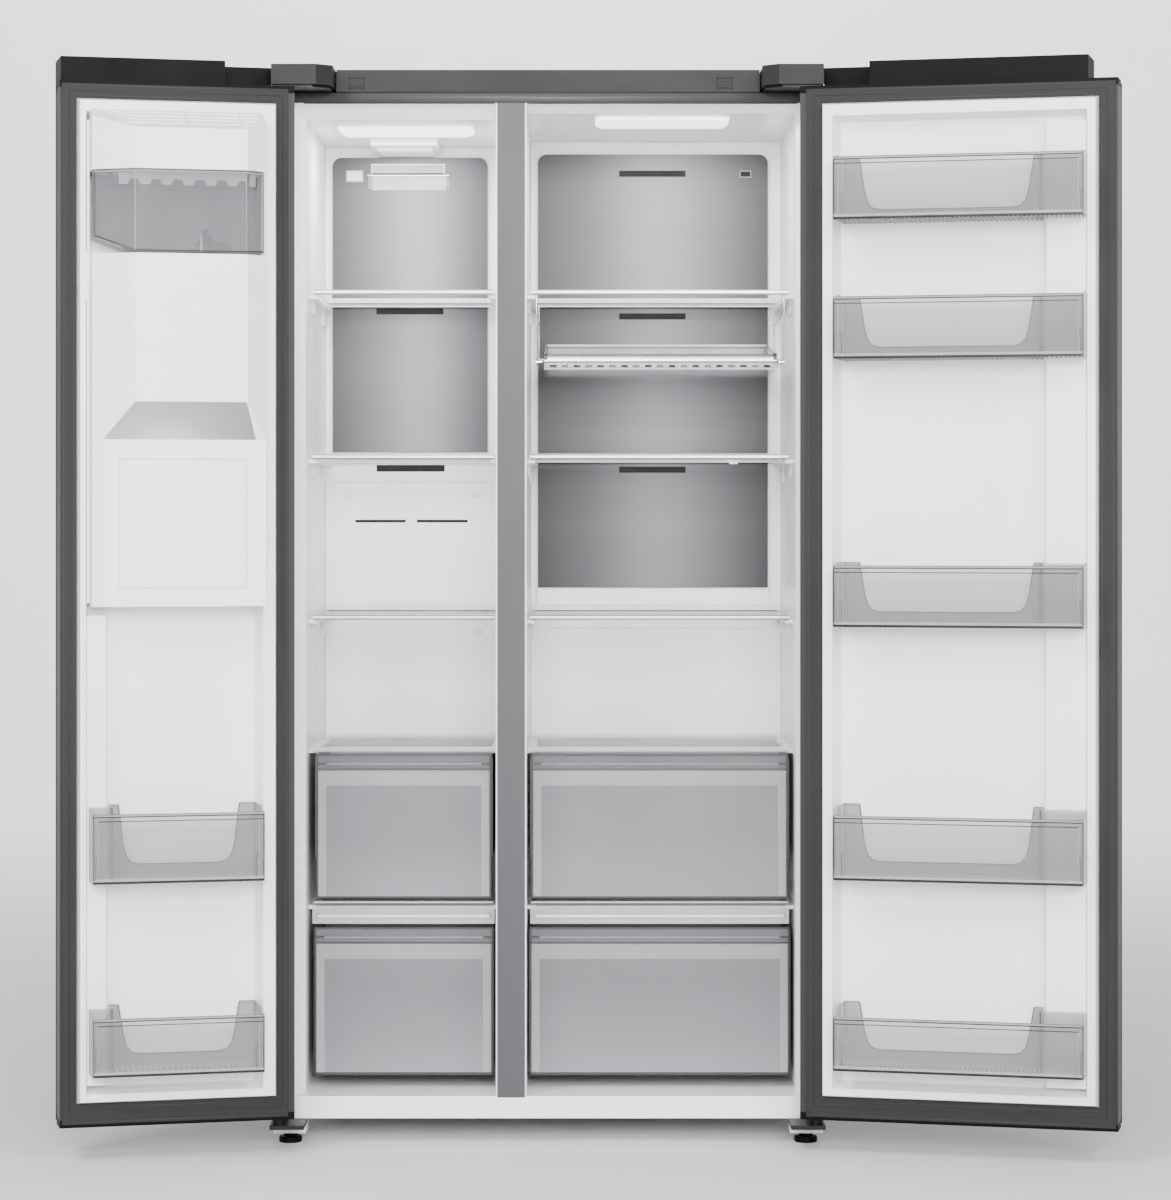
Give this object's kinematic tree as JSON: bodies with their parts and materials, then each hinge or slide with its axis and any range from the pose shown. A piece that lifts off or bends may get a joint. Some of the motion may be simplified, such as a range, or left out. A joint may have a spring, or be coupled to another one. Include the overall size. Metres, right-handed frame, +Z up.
{
  "type": "side by side refrigerator",
  "caption": "Upright two-door refrigerator: freezer left, fridge right, with hinged doors, glass shelves, drawers, door bins, ice maker and front dispenser.",
  "frame": {"origin": "centre of the footprint of the whole object, doors open, at the floor", "axes": "+Z up, +X to the right as seen from the front, +Y from the front to the back"},
  "size_m": [1.7294, 0.9051, 1.777],
  "materials": {
    "case_steel": "satin powder coat",
    "plain_steel": "galvanised sheet",
    "white_steel": "white painted sheet of the sill",
    "foam": "rigid foam",
    "liner_white": "moulded plastic",
    "mullion_gray": "painted steel strip",
    "dark_plastic": "moulded plastic",
    "gray_plastic": "moulded plastic",
    "duct_metal": "horizontal brushing",
    "lamp_cover": "milky cover",
    "shelf_glass": "tempered glass with clear rails",
    "clear_plastic": "clear moulded plastic",
    "smoked_plastic": "smoked moulded plastic",
    "drawer_plastic": "translucent plastic",
    "gasket": "soft seal",
    "hinge_steel": "black steel",
    "compressor_black": "gloss black",
    "coil_aluminium": "plain",
    "black_rubber": "plain",
    "hanger_wire": "polished"
  },
  "bodies": {
    "cabinet": {"outer_cabinet": "case_steel", "rear_panels": "plain_steel", "foam_insulation": "foam", "freezer_liner": "liner_white", "fridge_liner": "liner_white", "centre_mullion": "mullion_gray", "top_front_trim": "gray_plastic", "base_plate": "white_steel", "compressor": "compressor_black", "heat_exchangers": "coil_aluminium", "fan_motors": "dark_plastic", "metal_duct_panels": "duct_metal", "duct_covers": "liner_white", "ceiling_lamps": "lamp_cover", "drawer_covers": "clear_plastic", "hinge_brackets": "hinge_steel", "hinge_covers": "gray_plastic", "water_inlet_valve": "dark_plastic", "cord_gland": "black_rubber"},
    "left_door": {"left_door_skin": "case_steel", "left_door_liner": "liner_white", "left_door_foam": "foam", "left_door_gasket": "gasket", "left_door_caps": "dark_plastic", "dispenser_inner_cover": "liner_white", "ice_maker_unit": "liner_white", "dispenser_housing": "dark_plastic"},
    "right_door": {"right_door_skin": "case_steel", "right_door_liner": "liner_white", "right_door_foam": "foam", "right_door_gasket": "gasket", "right_door_caps": "dark_plastic"},
    "ice_bin": {"ice_bin": "smoked_plastic"},
    "ice_auger": {"ice_auger": "gray_plastic"},
    "dispenser_lever": {"dispenser_lever": "gray_plastic"},
    "bin_left_upper": {"bin_left_upper": "clear_plastic"},
    "bin_left_lower": {"bin_left_lower": "clear_plastic"},
    "bin_right_1": {"bin_right_1": "clear_plastic"},
    "bin_right_2": {"bin_right_2": "clear_plastic"},
    "bin_right_3": {"bin_right_3": "clear_plastic"},
    "bin_right_4": {"bin_right_4": "clear_plastic"},
    "bin_right_5": {"bin_right_5": "clear_plastic"},
    "freezer_shelf_1": {"freezer_shelf_1": "shelf_glass"},
    "fridge_shelf_1": {"fridge_shelf_1": "shelf_glass", "tray_hangers": "hanger_wire"},
    "freezer_shelf_2": {"freezer_shelf_2": "shelf_glass"},
    "fridge_shelf_2": {"fridge_shelf_2": "shelf_glass"},
    "freezer_shelf_3": {"freezer_shelf_3": "shelf_glass"},
    "fridge_shelf_3": {"fridge_shelf_3": "shelf_glass"},
    "chilled_tray": {"chilled_tray": "clear_plastic"},
    "freezer_drawer_upper": {"freezer_drawer_upper": "drawer_plastic"},
    "freezer_drawer_lower": {"freezer_drawer_lower": "drawer_plastic"},
    "fridge_drawer_upper": {"fridge_drawer_upper": "drawer_plastic"},
    "fridge_drawer_lower": {"fridge_drawer_lower": "drawer_plastic"},
    "front_foot_left": {"front_foot_left": "dark_plastic"},
    "rear_roller_left": {"rear_roller_left": "gray_plastic"},
    "front_foot_right": {"front_foot_right": "dark_plastic"},
    "rear_roller_right": {"rear_roller_right": "gray_plastic"},
    "condenser_fan": {"condenser_fan": "dark_plastic"},
    "freezer_fan": {"freezer_fan": "dark_plastic"}
  },
  "joints": [
    {"name": "left_door_hinge", "type": "hinge", "parent": "cabinet", "child": "left_door", "pos_m": [-0.5038, -0.2183, 0.9], "axis": [0, 0, -1], "range_deg": [-166, 0]},
    {"name": "right_door_hinge", "type": "hinge", "parent": "cabinet", "child": "right_door", "pos_m": [0.3742, -0.2183, 0.9], "axis": [0, 0, 1], "range_deg": [-166, 0]},
    {"name": "bin_left_upper_lift", "type": "slide", "parent": "left_door", "child": "bin_left_upper", "axis": [0, 0, 1], "range_m": [0, 0.05]},
    {"name": "bin_left_lower_lift", "type": "slide", "parent": "left_door", "child": "bin_left_lower", "axis": [0, 0, 1], "range_m": [0, 0.05]},
    {"name": "bin_right_1_lift", "type": "slide", "parent": "right_door", "child": "bin_right_1", "axis": [0, 0, 1], "range_m": [0, 0.05]},
    {"name": "bin_right_2_lift", "type": "slide", "parent": "right_door", "child": "bin_right_2", "axis": [0, 0, 1], "range_m": [0, 0.05]},
    {"name": "bin_right_3_lift", "type": "slide", "parent": "right_door", "child": "bin_right_3", "axis": [0, 0, 1], "range_m": [0, 0.05]},
    {"name": "bin_right_4_lift", "type": "slide", "parent": "right_door", "child": "bin_right_4", "axis": [0, 0, 1], "range_m": [0, 0.05]},
    {"name": "bin_right_5_lift", "type": "slide", "parent": "right_door", "child": "bin_right_5", "axis": [0, 0, 1], "range_m": [0, 0.05]},
    {"name": "ice_bin_pull", "type": "slide", "parent": "left_door", "child": "ice_bin", "axis": [0.2419, -0.9703, 0], "range_m": [0, 0.2]},
    {"name": "ice_auger_turn", "type": "hinge", "parent": "ice_bin", "child": "ice_auger", "pos_m": [-0.6118, -0.33489, 1.484], "axis": [0.2419, -0.9703, 0], "continuous": true},
    {"name": "dispenser_lever_push", "type": "hinge", "parent": "left_door", "child": "dispenser_lever", "pos_m": [-0.67287, -0.2553, 1.112], "axis": [-0.9703, -0.2419, 0], "range_deg": [0, 4], "stiffness_Nm_per_rad": 0.6},
    {"name": "freezer_shelf_1_slide", "type": "slide", "parent": "cabinet", "child": "freezer_shelf_1", "axis": [0, -1, 0], "range_m": [0, 0.3]},
    {"name": "fridge_shelf_1_slide", "type": "slide", "parent": "cabinet", "child": "fridge_shelf_1", "axis": [0, -1, 0], "range_m": [0, 0.3]},
    {"name": "freezer_shelf_2_slide", "type": "slide", "parent": "cabinet", "child": "freezer_shelf_2", "axis": [0, -1, 0], "range_m": [0, 0.3]},
    {"name": "fridge_shelf_2_slide", "type": "slide", "parent": "cabinet", "child": "fridge_shelf_2", "axis": [0, -1, 0], "range_m": [0, 0.3]},
    {"name": "freezer_shelf_3_slide", "type": "slide", "parent": "cabinet", "child": "freezer_shelf_3", "axis": [0, -1, 0], "range_m": [0, 0.3]},
    {"name": "fridge_shelf_3_slide", "type": "slide", "parent": "cabinet", "child": "fridge_shelf_3", "axis": [0, -1, 0], "range_m": [0, 0.3]},
    {"name": "chilled_tray_slide", "type": "slide", "parent": "fridge_shelf_1", "child": "chilled_tray", "axis": [0, -1, 0], "range_m": [0, 0.25]},
    {"name": "freezer_drawer_upper_slide", "type": "slide", "parent": "cabinet", "child": "freezer_drawer_upper", "axis": [0, -1, 0], "range_m": [0, 0.33]},
    {"name": "freezer_drawer_lower_slide", "type": "slide", "parent": "cabinet", "child": "freezer_drawer_lower", "axis": [0, -1, 0], "range_m": [0, 0.25]},
    {"name": "fridge_drawer_upper_slide", "type": "slide", "parent": "cabinet", "child": "fridge_drawer_upper", "axis": [0, -1, 0], "range_m": [0, 0.33]},
    {"name": "fridge_drawer_lower_slide", "type": "slide", "parent": "cabinet", "child": "fridge_drawer_lower", "axis": [0, -1, 0], "range_m": [0, 0.25]},
    {"name": "front_foot_left_level", "type": "slide", "parent": "cabinet", "child": "front_foot_left", "axis": [0, 0, -1], "range_m": [0, 0.01]},
    {"name": "rear_roller_left_turn", "type": "hinge", "parent": "cabinet", "child": "rear_roller_left", "pos_m": [-0.4648, 0.3987, 0.02], "axis": [1, 0, 0], "continuous": true},
    {"name": "front_foot_right_level", "type": "slide", "parent": "cabinet", "child": "front_foot_right", "axis": [0, 0, -1], "range_m": [0, 0.01]},
    {"name": "rear_roller_right_turn", "type": "hinge", "parent": "cabinet", "child": "rear_roller_right", "pos_m": [0.3352, 0.3987, 0.02], "axis": [1, 0, 0], "continuous": true},
    {"name": "condenser_fan_turn", "type": "hinge", "parent": "cabinet", "child": "condenser_fan", "pos_m": [-0.1278, 0.3387, 0.15], "axis": [1, 0, 0], "continuous": true},
    {"name": "freezer_fan_turn", "type": "hinge", "parent": "cabinet", "child": "freezer_fan", "pos_m": [-0.3098, 0.3527, 1.56], "axis": [0, 1, 0], "continuous": true}
  ]
}
